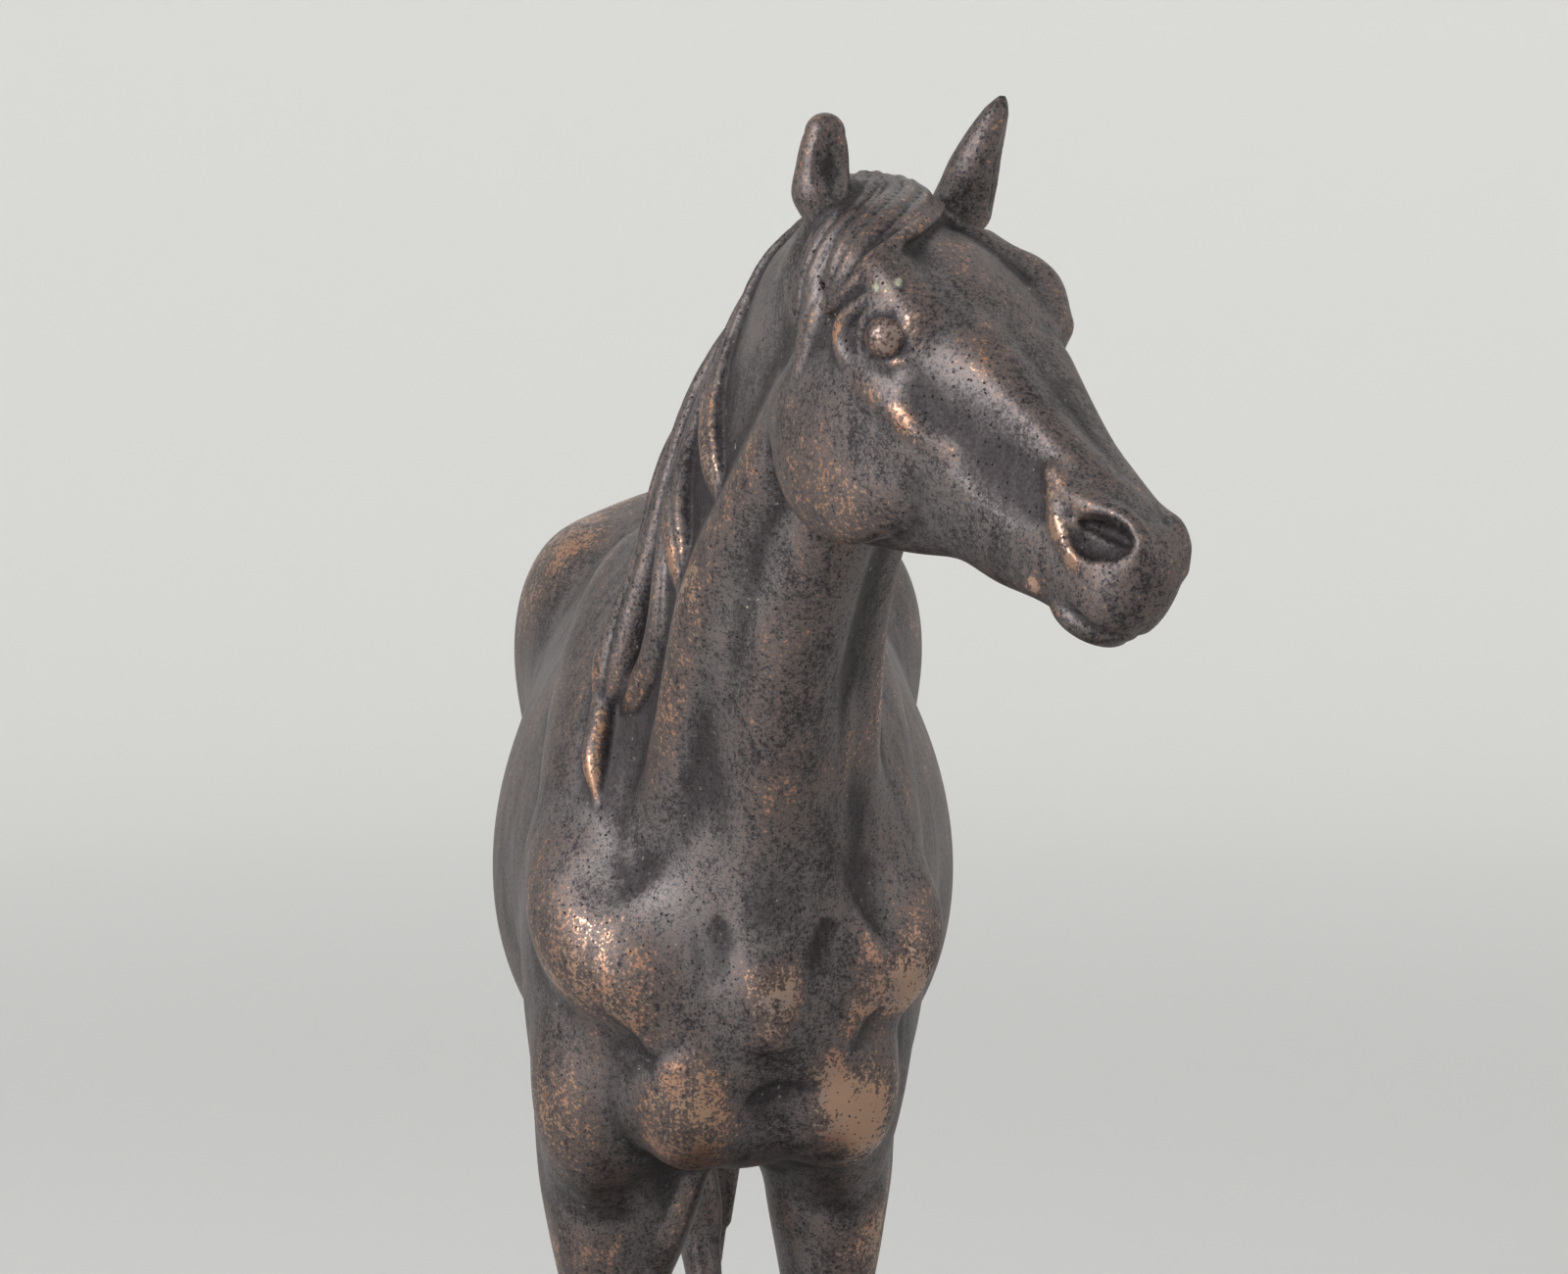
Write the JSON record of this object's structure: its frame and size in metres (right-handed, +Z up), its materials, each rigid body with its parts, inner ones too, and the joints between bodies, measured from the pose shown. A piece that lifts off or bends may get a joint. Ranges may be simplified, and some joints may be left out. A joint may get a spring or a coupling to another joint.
{
  "type": "horse sculpture",
  "caption": "Cast metal sculpture of a standing horse with its head turned to its left, on a low plinth with round corners.",
  "frame": {"origin": "middle of the plinth's underside", "axes": "+Z up, -Y the way the horse's body faces, +X its own left side, which its head turns to"},
  "size_m": [0.097, 0.2873, 0.2618],
  "materials": {
    "horse": "bronzed cast metal: a dark grey-brown oxide worn through to copper on the high points, satin with glossy patches",
    "plinth": "the same dark bronzed finish, plain, with copper showing along the edges"
  },
  "bodies": {
    "root": {"horse": "horse", "plinth": "plinth"}
  },
  "joints": []
}
